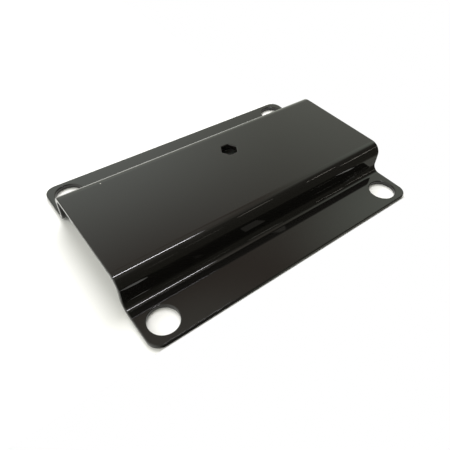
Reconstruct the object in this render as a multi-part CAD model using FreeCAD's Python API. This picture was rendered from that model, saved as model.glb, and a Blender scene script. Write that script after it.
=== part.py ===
import FreeCAD
import Part

import math
import os

# A bracket folded from one steel sheet to a hat section: flange, web, crown, web, flange.
# Sizes are in millimetres. X runs along the folds, Y across them and Z up.
# The origin is the middle of the footprint, on the surface that the flanges lie on.

# Sheet, its folds and the rounding of its cut edges
sheet = 3.0
bend_radius = 5.0
edge_round = 0.4

# Section, across the folds
crown_width = 80.0
flange_width = 31.0
height = 23.5

# Plan
length = 200.0
flange_corner_radius = 7.5

# Round bolt hole near each corner of the flanges, its centre dimensioned from the edges
bolt_hole_diameter = 17.5
bolt_hole_chamfer = 0.4
bolt_hole_from_end = 13.0
bolt_hole_from_side = 12.5

# Hexagonal hole in the crown, two of its corners in line with the folds
hex_across_flats = 10.0
hex_corner_radius = 0.5
hex_along = 10.0
hex_across = 16.0

# Places that follow from the sizes above
web_outside = crown_width / 2
web_inside = web_outside - sheet
half_width = web_outside + flange_width
half_length = length / 2

ORIGIN = FreeCAD.Vector(0, 0, 0)
ALONG = FreeCAD.Vector(1, 0, 0)
UP = FreeCAD.Vector(0, 0, 1)


def rounded_corner(before, corner, after, radius):
    """Three points of the arc that rounds a corner: where it starts, its middle and where it ends."""
    back = (before - corner).normalize()
    ahead = (after - corner).normalize()
    half_angle = back.getAngle(ahead) / 2
    inward = (back + ahead).normalize()
    reach = radius / math.tan(half_angle)
    depth = radius / math.sin(half_angle) - radius
    return corner + back * reach, corner + inward * depth, corner + ahead * reach


def rounded_face(corners, radii):
    """Flat face inside a closed outline, each corner with its own radius, or 0 to stay square."""
    preceding = corners[-1:] + corners[:-1]
    following = corners[1:] + corners[:1]
    arcs = [rounded_corner(*corner) for corner in zip(preceding, corners, following, radii)]
    edges = []
    for last_arc, arc, radius in zip(arcs[-1:] + arcs[:-1], arcs, radii):
        edges.append(Part.makeLine(last_arc[2], arc[0]))
        if radius > 0:
            edges.append(Part.Arc(*arc).toShape())
    return Part.Face(Part.Wire(edges))


def folded_sheet():
    """The sheet's section with its four bends, drawn at one end and extruded along the folds."""
    inner = bend_radius
    outer = bend_radius + sheet
    half_section = [
        (web_inside, height - sheet, inner),
        (web_inside, 0, outer),
        (half_width, 0, 0),
        (half_width, sheet, 0),
        (web_outside, sheet, inner),
        (web_outside, height, outer),
    ]
    other_half = [(-y, z, radius) for y, z, radius in reversed(half_section)]
    section = half_section + other_half
    corners = [FreeCAD.Vector(-half_length, y, z) for y, z, radius in section]
    radii = [radius for y, z, radius in section]
    return rounded_face(corners, radii).extrude(ALONG * length)


def footprint():
    """The plan with its rounded corners, as tall as the bracket."""
    signs = [(1, 1), (-1, 1), (-1, -1), (1, -1)]
    corners = [FreeCAD.Vector(x * half_length, y * half_width, 0) for x, y in signs]
    radii = [flange_corner_radius] * len(corners)
    return rounded_face(corners, radii).extrude(UP * height)


def hexagonal_hole():
    """Hexagonal prism through the crown, with the small corner radius of a punch."""
    centre = FreeCAD.Vector(hex_along, hex_across, height - sheet)
    corner_reach = hex_across_flats / 2 / math.cos(math.pi / 6)
    angles = [step * math.pi / 3 for step in range(6)]
    spokes = [FreeCAD.Vector(math.cos(angle), math.sin(angle), 0) for angle in angles]
    corners = [centre + spoke * corner_reach for spoke in spokes]
    radii = [hex_corner_radius] * len(corners)
    return rounded_face(corners, radii).extrude(UP * sheet)


def bolt_holes():
    """One turned cutter near each corner: a bore that widens to a chamfer at both faces of the flange."""
    bore = bolt_hole_diameter / 2
    mouth = bore + bolt_hole_chamfer
    profile = [
        (0, 0),
        (mouth, 0),
        (bore, bolt_hole_chamfer),
        (bore, sheet - bolt_hole_chamfer),
        (mouth, sheet),
        (0, sheet),
        (0, 0),
    ]
    wire = Part.makePolygon([FreeCAD.Vector(radius, 0, z) for radius, z in profile])
    cutter = Part.Face(wire).revolve(ORIGIN, UP, 360)
    x = half_length - bolt_hole_from_end
    y = half_width - bolt_hole_from_side
    return [cutter.translated(FreeCAD.Vector(i * x, j * y, 0)) for i in (-1, 1) for j in (-1, 1)]


def is_sharp(solid, edge):
    """True where the faces on the two sides of an edge meet at an angle."""
    middle = edge.valueAt((edge.FirstParameter + edge.LastParameter) / 2)
    faces = solid.ancestorsOfType(edge, Part.Face)
    normals = [face.normalAt(*face.Surface.parameter(middle)) for face in faces]
    return abs(normals[0].dot(normals[-1])) < math.cos(math.radians(10))


def bracket():
    """The folded sheet cut to its plan, punched, its cut edges rounded, and drilled for its bolts."""
    solid = folded_sheet().common(footprint()).cut(hexagonal_hole())
    cut_edges = [edge for edge in solid.Edges if is_sharp(solid, edge)]
    solid = solid.makeFillet(edge_round, cut_edges)
    return solid.cut(bolt_holes())


os.makedirs("parts", exist_ok=True)
bracket().exportStep("parts/bracket.step")
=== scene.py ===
import math

import bmesh
import bpy
from mathutils import Matrix, Vector


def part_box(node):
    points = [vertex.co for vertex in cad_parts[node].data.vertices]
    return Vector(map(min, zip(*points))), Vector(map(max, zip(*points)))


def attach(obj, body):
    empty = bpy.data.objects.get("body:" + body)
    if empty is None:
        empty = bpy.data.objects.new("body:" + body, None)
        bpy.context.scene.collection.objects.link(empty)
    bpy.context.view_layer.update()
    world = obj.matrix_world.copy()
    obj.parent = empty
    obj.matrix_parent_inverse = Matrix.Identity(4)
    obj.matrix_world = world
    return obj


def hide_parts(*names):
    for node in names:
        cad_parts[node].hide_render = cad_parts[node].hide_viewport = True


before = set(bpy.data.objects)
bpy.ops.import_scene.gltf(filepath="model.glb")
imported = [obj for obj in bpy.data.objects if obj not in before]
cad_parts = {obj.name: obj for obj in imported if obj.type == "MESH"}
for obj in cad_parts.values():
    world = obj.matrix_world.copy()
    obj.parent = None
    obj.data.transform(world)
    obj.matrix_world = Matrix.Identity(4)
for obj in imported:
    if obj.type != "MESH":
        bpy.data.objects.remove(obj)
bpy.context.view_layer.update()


# The bracket: one 3 mm steel sheet, punched with four round bolt holes and a small hexagon, and folded
# along four lines to a hat section. Its cut edges were tumbled round before it was painted. The sheet is
# swept along its fold line, and the punching is the part of it that lies inside the plan.
SHEET = 0.003
BEND_RADIUS = 0.005
EDGE_ROUND = 0.0007
CROWN_WIDTH = 0.080
PLAN_CORNER_RADIUS = 0.0075
BOLT_HOLE_RADIUS = 0.00875
BOLT_HOLE_FROM_END = 0.013
BOLT_HOLE_FROM_SIDE = 0.0125
HEX_ACROSS_FLATS = 0.010
HEX_CORNER_RADIUS = 0.0005
HEX_CENTRE = (0.010, 0.016, 0.0)

BEND_SEGMENTS = 24
HOLE_SEGMENTS = 96
CORNER_SEGMENTS = 20
HEX_CORNER_SEGMENTS = 6
RIM_SEGMENTS = 4
RIM_ANGLE = 40
SPARE = 0.002
SAME_POINT = 1e-7

low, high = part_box("bracket")
length, width, height = high - low


def add_node(tree, kind, inputs=None, **settings):
    """Adds a node with its settings. An input takes a value, a socket, a node for its first output, or a
    list of these where it takes several."""
    node = tree.nodes.new(kind)
    for setting, value in settings.items():
        setattr(node, setting, value)
    for socket, wanted in (inputs or {}).items():
        for value in wanted if isinstance(wanted, list) else [wanted]:
            source = value.outputs[0] if isinstance(value, bpy.types.Node) else value
            if isinstance(source, bpy.types.NodeSocket):
                tree.links.new(source, node.inputs[socket])
            else:
                node.inputs[socket].default_value = source
    return node


def linear(hex_colour, strength=1.0):
    """sRGB hex, as '#0b0b0c', to the linear colour that a shader takes, made stronger where asked."""
    channels = [int(hex_colour[i : i + 2], 16) / 255 for i in (1, 3, 5)]
    plain = [c / 12.92 if c <= 0.04045 else ((c + 0.055) / 1.055) ** 2.4 for c in channels]
    return (*(strength * c for c in plain), 1.0)


def bare_material(name):
    """A new material and its empty node tree."""
    material = bpy.data.materials.new(name)
    material.use_nodes = True
    material.node_tree.nodes.clear()
    return material, material.node_tree


def gloss_black_enamel():
    """Stoved black enamel, sprayed on steel: a deep black body under a glassy skin, which shows the room
    sharply. Sprayed paint dries with a faint orange peel, and the sheet under it is never quite flat."""
    material, tree = bare_material("gloss_black_enamel")
    place = add_node(tree, "ShaderNodeTexCoord").outputs["Object"]

    # The sheet's own waves, a few centimetres long, and the peel, a few millimetres
    wave_size = 0.045
    wave_depth = 0.00006
    peel_size = 0.0028
    peel_depth = 0.0000015
    wave = add_node(tree, "ShaderNodeTexNoise", {"Vector": place, "Scale": 1 / wave_size, "Detail": 1.0})
    peel = add_node(tree, "ShaderNodeTexNoise", {"Vector": place, "Scale": 1 / peel_size, "Detail": 2.0})
    wavy = add_node(tree, "ShaderNodeBump", {"Height": wave, "Distance": wave_depth})
    peeled = add_node(tree, "ShaderNodeBump", {"Height": peel, "Distance": peel_depth, "Normal": wavy})

    # The one grain of dust in the enamel, near the crown's far left corner
    grain_place = (-0.0739, 0.0319, 0.0235)
    grain_radius = 0.00045
    to_grain = add_node(tree, "ShaderNodeVectorMath", {0: place, 1: grain_place}, operation="DISTANCE")
    span = {"From Min": grain_radius, "From Max": grain_radius / 2}
    grain = add_node(tree, "ShaderNodeMapRange", {"Value": to_grain.outputs["Value"], **span})
    colours = {6: linear("#151413"), 7: linear("#b4b2ab")}
    colour = add_node(tree, "ShaderNodeMix", {"Factor": grain, **colours}, data_type="RGBA")

    # The body is matt, and all the shine is the skin's, as a coat
    paint = add_node(
        tree,
        "ShaderNodeBsdfPrincipled",
        {
            "Base Color": colour.outputs[2],
            "Roughness": 0.6,
            "Specular IOR Level": 0.0,
            "IOR": 1.5,
            "Normal": wavy,
            "Coat Weight": 1.0,
            "Coat Roughness": 0.02,
            "Coat IOR": 1.5,
            "Coat Normal": peeled,
        },
    )
    add_node(tree, "ShaderNodeOutputMaterial", {"Surface": paint})
    return material


def as_plain_mesh(piece):
    """Turns the piece into the mesh that its modifiers give, with the modifiers gone."""
    bpy.context.view_layer.update()
    evaluated = piece.evaluated_get(bpy.context.evaluated_depsgraph_get())
    finished = bpy.data.meshes.new_from_object(evaluated)
    finished.name = piece.name
    piece.modifiers.clear()
    piece.data = finished


# The fold line: the middle of the sheet's thickness, from one flange's free edge over the crown to the
# other's, with its four corners still sharp
web_middle = (CROWN_WIDTH - SHEET) / 2
low_level = SHEET / 2
high_level = height - SHEET / 2
near_half = [(-width / 2 - SPARE, low_level), (-web_middle, low_level), (-web_middle, high_level)]
far_half = [(-y, z) for y, z in reversed(near_half)]
drawing = bmesh.new()
turns = [drawing.verts.new((0, y, z)) for y, z in near_half + far_half]
for pair in zip(turns, turns[1:]):
    drawing.edges.new(pair)
fold_line = bpy.data.meshes.new("folded_bracket")
drawing.to_mesh(fold_line)
drawing.free()
bracket = bpy.data.objects.new("folded_bracket", fold_line)
bpy.context.scene.collection.objects.link(bracket)

pressing = bpy.data.node_groups.new("folded_and_punched_sheet", "GeometryNodeTree")
pressing.interface.new_socket("Fold Line", in_out="INPUT", socket_type="NodeSocketGeometry")
pressing.interface.new_socket("Bracket", in_out="OUTPUT", socket_type="NodeSocketGeometry")
sizes = {
    "Length": length,
    "Width": width,
    "Spare Length": length + 2 * SPARE,
    "Sheet": SHEET,
    "Fold Radius": BEND_RADIUS + SHEET / 2,
    "Plan Corner Radius": PLAN_CORNER_RADIUS,
    "Bolt Hole Radius": BOLT_HOLE_RADIUS,
    "Bolt Holes Along": length - 2 * BOLT_HOLE_FROM_END,
    "Bolt Holes Across": width - 2 * BOLT_HOLE_FROM_SIDE,
    "Hex Circumradius": HEX_ACROSS_FLATS / 2 / math.cos(math.pi / 6),
    "Hex Corner Radius": HEX_CORNER_RADIUS,
    "Hex Centre": HEX_CENTRE,
    "Punch Start": (0, 0, -SPARE),
    "Punch Stroke": (0, 0, height + 2 * SPARE),
}
identifiers = {}
for size_name, size in sizes.items():
    kind = "NodeSocketVector" if isinstance(size, tuple) else "NodeSocketFloat"
    size_socket = pressing.interface.new_socket(size_name, in_out="INPUT", socket_type=kind)
    identifiers[size_name] = size_socket.identifier
given = add_node(pressing, "NodeGroupInput").outputs

# The folded sheet, a little long and a little wide
line = add_node(pressing, "GeometryNodeMeshToCurve", {"Mesh": given["Fold Line"]})
bent_line = add_node(
    pressing,
    "GeometryNodeFilletCurve",
    {"Curve": line, "Count": BEND_SEGMENTS, "Radius": given["Fold Radius"]},
    mode="POLY",
)
section = add_node(
    pressing,
    "GeometryNodeCurvePrimitiveQuadrilateral",
    {"Width": given["Spare Length"], "Height": given["Sheet"]},
)
folded = add_node(
    pressing,
    "GeometryNodeCurveToMesh",
    {"Curve": bent_line, "Profile Curve": section, "Fill Caps": True},
)

# The plan: a rectangle with rounded corners, four round holes and a hexagon with rounded corners
rectangle = add_node(
    pressing,
    "GeometryNodeCurvePrimitiveQuadrilateral",
    {"Width": given["Length"], "Height": given["Width"]},
)
plan = add_node(
    pressing,
    "GeometryNodeFilletCurve",
    {"Curve": rectangle, "Count": CORNER_SEGMENTS, "Radius": given["Plan Corner Radius"]},
    mode="POLY",
)
hole_spacing = {"Size X": given["Bolt Holes Along"], "Size Y": given["Bolt Holes Across"]}
hole_centres = add_node(pressing, "GeometryNodeMeshGrid", {**hole_spacing, "Vertices X": 2, "Vertices Y": 2})
hole = add_node(
    pressing,
    "GeometryNodeCurvePrimitiveCircle",
    {"Resolution": HOLE_SEGMENTS, "Radius": given["Bolt Hole Radius"]},
)
bolt_holes = add_node(pressing, "GeometryNodeInstanceOnPoints", {"Points": hole_centres, "Instance": hole})
hexagon = add_node(
    pressing,
    "GeometryNodeCurvePrimitiveCircle",
    {"Resolution": 6, "Radius": given["Hex Circumradius"]},
)
rounded_hexagon = add_node(
    pressing,
    "GeometryNodeFilletCurve",
    {"Curve": hexagon, "Count": HEX_CORNER_SEGMENTS, "Radius": given["Hex Corner Radius"]},
    mode="POLY",
)
hexagonal_hole = add_node(
    pressing,
    "GeometryNodeSetPosition",
    {"Geometry": rounded_hexagon, "Offset": given["Hex Centre"]},
)
outlines = add_node(pressing, "GeometryNodeJoinGeometry", {"Geometry": [plan, bolt_holes, hexagonal_hole]})
cut_lines = add_node(pressing, "GeometryNodeRealizeInstances", {"Geometry": outlines})
blank = add_node(pressing, "GeometryNodeFillCurve", {"Curve": cut_lines}, mode="NGONS")

# The punch: the plan raised to a block with the holes in it. Where the block and the sheet meet, the
# bracket is left.
foot = add_node(pressing, "GeometryNodeSetPosition", {"Geometry": blank, "Offset": given["Punch Start"]})
raised = add_node(
    pressing,
    "GeometryNodeExtrudeMesh",
    {"Mesh": foot, "Offset": given["Punch Stroke"], "Individual": False},
)
foot_down = add_node(pressing, "GeometryNodeFlipFaces", {"Mesh": foot})
block = add_node(pressing, "GeometryNodeJoinGeometry", {"Geometry": [raised, foot_down]})
punch = add_node(pressing, "GeometryNodeMergeByDistance", {"Geometry": block, "Distance": SAME_POINT})
punched = add_node(
    pressing,
    "GeometryNodeMeshBoolean",
    {"Mesh 2": [folded, punch]},
    operation="INTERSECT",
    solver="EXACT",
)
smooth = add_node(pressing, "GeometryNodeSetShadeSmooth", {"Geometry": punched})
realized = add_node(pressing, "GeometryNodeRealizeInstances", {"Geometry": smooth})
black_enamel = gloss_black_enamel()
painted = add_node(pressing, "GeometryNodeSetMaterial", {"Geometry": realized, "Material": black_enamel})
add_node(pressing, "NodeGroupOutput", {"Bracket": painted})

press = bracket.modifiers.new("Folded and punched", "NODES")
press.node_group = pressing
for size_name, identifier in identifiers.items():
    press[identifier] = sizes[size_name]
as_plain_mesh(bracket)

tumbled = bracket.modifiers.new("Rounded cut edges", "BEVEL")
tumbled.width = EDGE_ROUND
tumbled.segments = RIM_SEGMENTS
tumbled.limit_method = "ANGLE"
tumbled.angle_limit = math.radians(RIM_ANGLE)
tumbled.use_clamp_overlap = False
flats = bracket.modifiers.new("Flats stay flat", "WEIGHTED_NORMAL")
flats.keep_sharp = False
as_plain_mesh(bracket)
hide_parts("bracket")
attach(bracket, "root")


# The floor: a wide pale matt board that the bracket lies on. It ends just in front of the bracket and
# just to its right, because the paint mirrors a dark room on those two sides and no white floor.
FLOOR_GAP = 0.0001
FLOOR_REACH = 2.0
FLOOR_FRONT = 0.0712
FLOOR_RIGHT = 0.1002


def pale_matt_board():
    """Matt white board, clear from below so that a view from there shows the underside."""
    material, tree = bare_material("pale_matt_board")
    matt = add_node(tree, "ShaderNodeBsdfDiffuse", {"Color": linear("#f7f7f7")})
    clear = add_node(tree, "ShaderNodeBsdfTransparent")
    from_below = add_node(tree, "ShaderNodeNewGeometry").outputs["Backfacing"]
    either = add_node(tree, "ShaderNodeMixShader", {0: from_below, 1: matt, 2: clear})
    add_node(tree, "ShaderNodeOutputMaterial", {"Surface": either})
    return material


def level_panel(left, right, near, far, level):
    """A flat rectangle that faces up."""
    panel = bmesh.new()
    corners = [(left, near), (right, near), (right, far), (left, far)]
    panel.faces.new([panel.verts.new((x, y, level)) for x, y in corners])
    return panel


def stage_piece(name, shape, material):
    """A stage object made of a drawn shape and one material."""
    mesh = bpy.data.meshes.new(name)
    shape.to_mesh(mesh)
    shape.free()
    mesh.materials.append(material)
    piece = bpy.data.objects.new(name, mesh)
    bpy.context.scene.collection.objects.link(piece)
    return piece


board = level_panel(-FLOOR_REACH, FLOOR_RIGHT, -FLOOR_FRONT, FLOOR_REACH, -FLOOR_GAP)
stage_piece("floor", board, pale_matt_board())


# The light tent: a wide soft dome round the bracket, bright on the far side and dim behind the camera
# and below. It lights the bracket and shows in its paint, and the camera doesn't see it.
TENT_RADIUS = 3.0
TENT_SUBDIVISIONS = 4
TENT_CLOTH = ("#fbfff0", 0.8188)
# Each patch: colour, strength, azimuth from +Y towards +X, elevation, where full and where gone, in degrees
TENT_PATCHES = [
    # The window on the far side, and one on the right
    ("#f6fdf5", 1.7577, 9, 43, 3, 32),
    ("#f4feee", 1.3087, 78, 48, 9, 20),
    # The brown ceiling and the light on it
    ("#ff7f00", 0.1320, 30, 75, 13, 46),
    ("#fdf5e5", 0.5653, 40, 78, 17, 28),
    # The dim room behind the camera and below
    ("#fef9e0", 0.1140, 145, 5, 48, 69),
    ("#ffffeb", 0.0601, 0, -90, 48, 66),
    # The window on the left, and a pale thing low on the right
    ("#fffff9", 1.9000, -85, 32, 20, 48),
    ("#fdfded", 0.3663, 114, -44, 10, 28),
]


def towards(azimuth, elevation):
    """Unit vector, its azimuth in degrees from +Y towards +X."""
    a, e = math.radians(azimuth), math.radians(elevation)
    return (math.sin(a) * math.cos(e), math.cos(a) * math.cos(e), math.sin(e))


def lit_tent_cloth():
    """White cloth with the light behind it. Each patch is centred on a direction, and fades at its rim."""
    material, tree = bare_material("lit_tent_cloth")
    place = add_node(tree, "ShaderNodeTexCoord").outputs["Object"]
    direction = add_node(tree, "ShaderNodeVectorMath", {0: place}, operation="NORMALIZE")
    light = linear(*TENT_CLOTH)
    for hex_colour, strength, azimuth, elevation, full_within, gone_at in TENT_PATCHES:
        centre = towards(azimuth, elevation)
        along = add_node(tree, "ShaderNodeVectorMath", {0: direction, 1: centre}, operation="DOT_PRODUCT")
        angle = add_node(tree, "ShaderNodeMath", {0: along.outputs["Value"]}, operation="ARCCOSINE")
        span = {"From Min": math.radians(gone_at), "From Max": math.radians(full_within)}
        amount = add_node(
            tree,
            "ShaderNodeMapRange",
            {"Value": angle, **span},
            interpolation_type="SMOOTHSTEP",
        )
        colours = {6: light, 7: linear(hex_colour, strength)}
        light = add_node(tree, "ShaderNodeMix", {"Factor": amount, **colours}, data_type="RGBA").outputs[2]
    glow = add_node(tree, "ShaderNodeEmission", {"Color": light, "Strength": 1.0})
    add_node(tree, "ShaderNodeOutputMaterial", {"Surface": glow})
    return material


dome = bmesh.new()
bmesh.ops.create_icosphere(dome, subdivisions=TENT_SUBDIVISIONS, radius=TENT_RADIUS)
bmesh.ops.reverse_faces(dome, faces=dome.faces)
tent = stage_piece("light_tent", dome, lit_tent_cloth())
tent.visible_camera = False


# The strip lamp overhead, a long panel along the folds. It draws the bright lines along the near top
# bend and the foot, which fade out towards the right.
STRIP_LEFT = -0.10
STRIP_RIGHT = 0.79
STRIP_FULL_TO = 0.61
STRIP_NEAR = -0.3225
STRIP_FAR = -0.2375
STRIP_HEIGHT = 2.0
STRIP_STRENGTH = 42.0


def lamp_glow(name, hex_colour, strength, fade=None):
    """Light of one colour. A fade is two places along X: full as far as the first, gone at the second."""
    material, tree = bare_material(name)
    if fade:
        place = add_node(tree, "ShaderNodeTexCoord").outputs["Object"]
        along = add_node(tree, "ShaderNodeSeparateXYZ", {0: place}).outputs["X"]
        span = {"From Min": fade[0], "From Max": fade[1], "To Min": strength, "To Max": 0.0}
        strength = add_node(
            tree,
            "ShaderNodeMapRange",
            {"Value": along, **span},
            interpolation_type="SMOOTHSTEP",
        )
    glow = add_node(tree, "ShaderNodeEmission", {"Color": linear(hex_colour), "Strength": strength})
    add_node(tree, "ShaderNodeOutputMaterial", {"Surface": glow})
    return material


def only_in_the_paint(lamp):
    """Shows the lamp in reflections alone: the camera doesn't see it, and it lights nothing."""
    lamp.visible_camera = False
    lamp.visible_diffuse = False


strip_panel = level_panel(STRIP_LEFT, STRIP_RIGHT, STRIP_NEAR, STRIP_FAR, STRIP_HEIGHT)
bmesh.ops.reverse_faces(strip_panel, faces=strip_panel.faces)
strip_glow = lamp_glow("strip_lamp", "#fbf9ff", STRIP_STRENGTH, fade=(STRIP_FULL_TO, STRIP_RIGHT))
only_in_the_paint(stage_piece("strip_lamp", strip_panel, strip_glow))


# Small oval lamps of the room behind the camera, turned to face the bracket. They draw the short streaks
# along the bends and the spot on the near web.
OVAL_DISTANCE = 2.6
OVAL_SEGMENTS = 32
# Each oval: azimuth and elevation, its spread across and upright, all in degrees, and its strength
OVALS = [
    (165, 26, 6, 0.8, 2.0),
    (156, 32, 7, 0.8, 2.4),
    (149, 50, 3, 0.8, 1.0),
    (136, 45.6, 7, 2.2, 2.4),
    (128, 36, 6, 0.7, 10.0),
    (127, 27, 7, 0.7, 9.0),
]
for number, (azimuth, elevation, across, upright, strength) in enumerate(OVALS):
    aim = Vector(towards(azimuth, elevation))
    half_sizes = [OVAL_DISTANCE * math.tan(math.radians(spread / 2)) for spread in (across, upright)]
    oval = bmesh.new()
    bmesh.ops.create_circle(oval, cap_ends=True, segments=OVAL_SEGMENTS, radius=1.0)
    bmesh.ops.transform(
        oval,
        verts=oval.verts,
        matrix=Matrix.Translation(aim * OVAL_DISTANCE)
        @ aim.to_track_quat("Z", "Y").to_matrix().to_4x4()
        @ Matrix.Diagonal((*half_sizes, 1.0, 1.0)),
    )
    oval_name = f"small_lamp_{number}"
    only_in_the_paint(stage_piece(oval_name, oval, lamp_glow(oval_name, "#fffaec", strength)))


# The key light: a wide soft round lamp overhead and a little behind the bracket. It lights the bracket
# and the floor, and doesn't show in the paint.
KEY_PLACE = (0.55, 0.95, 1.6)
KEY_SIZE = 1.6
KEY_WATTS = 36.0
key_light = bpy.data.lights.new("overhead_soft_light", "AREA")
key_light.shape = "DISK"
key_light.size = KEY_SIZE
key_light.energy = KEY_WATTS
key = bpy.data.objects.new("overhead_soft_light", key_light)
key.location = KEY_PLACE
key.rotation_euler = Vector(KEY_PLACE).to_track_quat("Z", "Y").to_euler()
key.visible_glossy = False
bpy.context.scene.collection.objects.link(key)


# The world outside the tent: plain white, as the floor is. The camera sees it through the tent, past
# the floor.
world = bpy.data.worlds.new("white_surround")
world.use_nodes = True
surround = world.node_tree.nodes["Background"]
surround.inputs["Color"].default_value = linear("#ffffff")
surround.inputs["Strength"].default_value = 1.0
bpy.context.scene.world = world
bpy.context.scene.view_settings.view_transform = "Standard"


# The camera, as solved from the photograph's outline: it stands close in front, to the left and above,
# and the photograph's optical centre is a little off the middle of its frame. Angles are in radians.
IMAGE = 450
SENSOR_WIDTH = 36.0
NEAREST = 0.01
FOCAL_PIXELS = 423.35
MIDDLE_PIXEL = (242.39, 235.19)
CAMERA_AZIMUTH = 0.67154
CAMERA_ELEVATION = 0.73263
CAMERA_DISTANCE = 0.28762
CAMERA_ROLL = 0.04075
CAMERA_PAN = -0.02782
CAMERA_TILT = 0.09563

lens = bpy.data.cameras.new("camera")
lens.sensor_width = SENSOR_WIDTH
lens.lens = FOCAL_PIXELS / IMAGE * SENSOR_WIDTH
lens.shift_x = (IMAGE / 2 - MIDDLE_PIXEL[0]) / IMAGE
lens.shift_y = (MIDDLE_PIXEL[1] - IMAGE / 2) / IMAGE
lens.clip_start = NEAREST
camera = bpy.data.objects.new("camera", lens)
from_object = Vector(
    (
        -math.sin(CAMERA_AZIMUTH) * math.cos(CAMERA_ELEVATION),
        -math.cos(CAMERA_AZIMUTH) * math.cos(CAMERA_ELEVATION),
        math.sin(CAMERA_ELEVATION),
    )
)
camera.matrix_world = (
    Matrix.Translation(from_object * CAMERA_DISTANCE)
    @ from_object.to_track_quat("Z", "Y").to_matrix().to_4x4()
    @ Matrix.Rotation(CAMERA_ROLL, 4, "Z")
    @ Matrix.Rotation(CAMERA_PAN, 4, "Y")
    @ Matrix.Rotation(-CAMERA_TILT, 4, "X")
)
bpy.context.scene.collection.objects.link(camera)
bpy.context.scene.camera = camera
